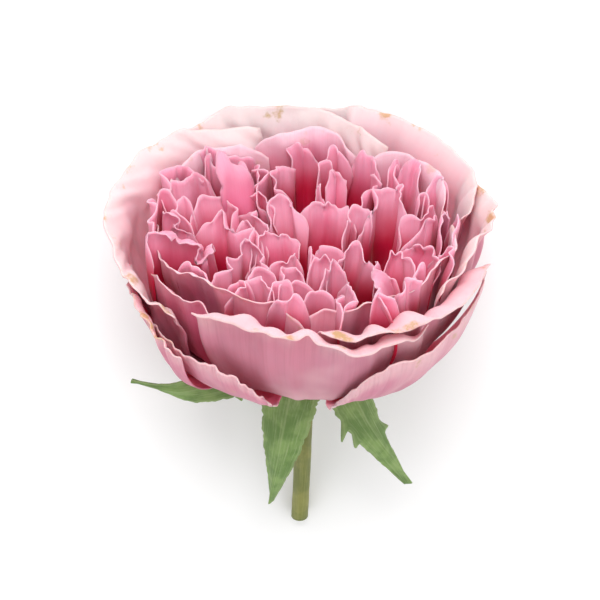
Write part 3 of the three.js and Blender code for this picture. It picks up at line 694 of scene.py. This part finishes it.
def makeSepals():
    faces = (leafMaterials["sepalInside"], leafMaterials["sepalFace"])
    for number, (name, sepal) in enumerate(sepals.items()):
        seed = 700 + number * 7
        piece, _ = makeSheet(name.replace("_", "-"), sepalForm["grid"],
                             lambda u, t: sepalPoints(sepal, seed, u, t), sepalForm["thickness"],
                             sepalForm["clearance"], faces)
        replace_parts(piece, name)
    print("sepals:", len(sepals))


def spinProfile(name, profile, segments, bend):
    # turns the (radius, z) profile round the flower's axis, bends it and lays it down
    shape = bmesh.new()
    verts = [shape.verts.new((radius, 0, z)) for radius, z in profile]
    edges = [shape.edges.new(pair) for pair in zip(verts, verts[1:])]
    bmesh.ops.spin(shape, geom=verts + edges, cent=(0, 0, 0), axis=(0, 0, 1), angle=2 * math.pi,
                   steps=segments, use_merge=True, use_duplicate=False)
    bmesh.ops.remove_doubles(shape, verts=shape.verts, dist=1e-4)
    bmesh.ops.recalc_face_normals(shape, faces=shape.faces)
    uvLayer = shape.loops.layers.uv.new("UVMap")
    lowest = min(z for _, z in profile)
    highest = max(z for _, z in profile)
    for face in shape.faces:
        for corner in face.loops:
            angle = math.atan2(corner.vert.co.y, corner.vert.co.x) / (2 * math.pi) + 0.5
            corner[uvLayer].uv = (angle, (corner.vert.co.z - lowest) / (highest - lowest))
    points = bend(np.array([vert.co[:] for vert in shape.verts]))
    return finishPiece(name, shape, toWorld(points), (leafMaterials["stemSkin"],))


stemShape = dict(radii=(2.9, 2.45, 2.4), radiiAt=(0, 0.25, 1), topZ=-12.3, endZ=-63, lean=1.4, uneven=0.02,
                 rings=40, segments=48)


def makeStem():
    topZ, endZ = stemShape["topZ"], stemShape["endZ"]
    steps = np.linspace(0, 1, stemShape["rings"] + 1)
    radii = np.interp(steps, stemShape["radiiAt"], stemShape["radii"])
    profile = [(0, topZ), *zip(radii, topZ + (endZ - topZ) * steps), (0, endZ)]

    def bend(points):
        t = np.clip((topZ - points[:, 2]) / (topZ - endZ), 0, 1)
        points[:, :2] *= (1 + stemShape["uneven"] * waves(points[:, 2] / 9, 5, 1.0))[:, None]
        points[:, 0] -= stemShape["lean"] * t**1.5
        return points

    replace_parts(spinProfile("flower-stem", profile, stemShape["segments"], bend), "stem")
    print("stem made")


hipShape = dict(radius=8.6, domeHeight=5.4, neckRadius=3.6, neckZ=-12, rings=12, segments=64)


def makeHip():
    radius, neckRadius, rings = hipShape["radius"], hipShape["neckRadius"], hipShape["rings"]
    profile = [(0, hipShape["neckZ"])]
    for k in range(rings + 1):  # the neck widens to the cup
        t = k / rings
        cupRadius = neckRadius + (radius - neckRadius) * math.sin(math.pi / 2 * t)
        profile.append((cupRadius, hipShape["neckZ"] * (1 - t**1.2)))
    for k in range(1, rings):  # the dome closes it
        angle = math.pi / 2 * k / rings
        profile.append((radius * math.cos(angle), hipShape["domeHeight"] * math.sin(angle)))
    profile.append((0, hipShape["domeHeight"]))
    piece = spinProfile("flower-hip", profile, hipShape["segments"], lambda points: points)
    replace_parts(piece, "hip")
    print("hip made")


# The camera looks at the upright flower from its front, in millimetres, and is laid down together with it.
view = dict(elevation=math.radians(37), distance=650.0, target=(-1.3, -1.45, 15.9), width=161.1)
sensorWidth = 36


def makeCamera():
    cosine, sine = math.cos(view["elevation"]), math.sin(view["elevation"])
    towards = np.array([0, -cosine, sine])
    upward = np.array([0, sine, cosine])
    right = np.array([1.0, 0, 0])
    place = toWorld((np.array(view["target"]) + towards * view["distance"])[None])[0]
    turn = Matrix([list(axis @ layDown) for axis in (right, upward, towards)]).transposed()
    data = bpy.data.cameras.new("camera")
    data.sensor_width = sensorWidth
    data.lens = sensorWidth * view["distance"] / view["width"]
    data.clip_start = 0.05
    camera = bpy.data.objects.new("camera", data)
    camera.matrix_world = Matrix.Translation(Vector(place)) @ turn.to_4x4()
    bpy.context.scene.collection.objects.link(camera)
    bpy.context.scene.camera = camera


def makeFloor():
    shape = bmesh.new()
    bmesh.ops.create_grid(shape, x_segments=1, y_segments=1, size=3)
    mesh = bpy.data.meshes.new("floor")
    shape.to_mesh(mesh)
    shape.free()
    floor = bpy.data.objects.new("floor", mesh)
    bpy.context.scene.collection.objects.link(floor)
    material = bpy.data.materials.new("paleFloor")
    material.use_nodes = True
    shader = material.node_tree.nodes["Principled BSDF"]
    shader.inputs["Base Color"].default_value = (0.93, 0.93, 0.93, 1)
    shader.inputs["Roughness"].default_value = 0.9
    mesh.materials.append(material)


worldStrength = 0.74
lights = {  # place in metres, size in metres, watts
    "key": dict(place=(0.05, -0.75, 0.75), size=0.6, power=7.6),
    "fill": dict(place=(-0.7, 0.1, 0.7), size=0.8, power=2.5),
    "back": dict(place=(0.6, 0.7, 0.6), size=0.8, power=2.0),
}


def makeLights():
    world = bpy.data.worlds.new("studio")
    world.use_nodes = True
    background = world.node_tree.nodes["Background"]
    background.inputs["Color"].default_value = (1, 1, 1, 1)
    background.inputs["Strength"].default_value = worldStrength
    bpy.context.scene.world = world
    for name, lamp in lights.items():
        data = bpy.data.lights.new(name, "AREA")
        data.size = lamp["size"]
        data.energy = lamp["power"]
        light = bpy.data.objects.new(name, data)
        light.location = lamp["place"]
        light.rotation_euler = (-Vector(lamp["place"])).to_track_quat("-Z", "Y").to_euler()
        bpy.context.scene.collection.objects.link(light)
    bpy.context.scene.view_settings.view_transform = "Standard"
    print("camera, floor and lights made")


makeCamera()
makeFloor()
makeLights()
makePetals()
makeSepals()
makeStem()
makeHip()
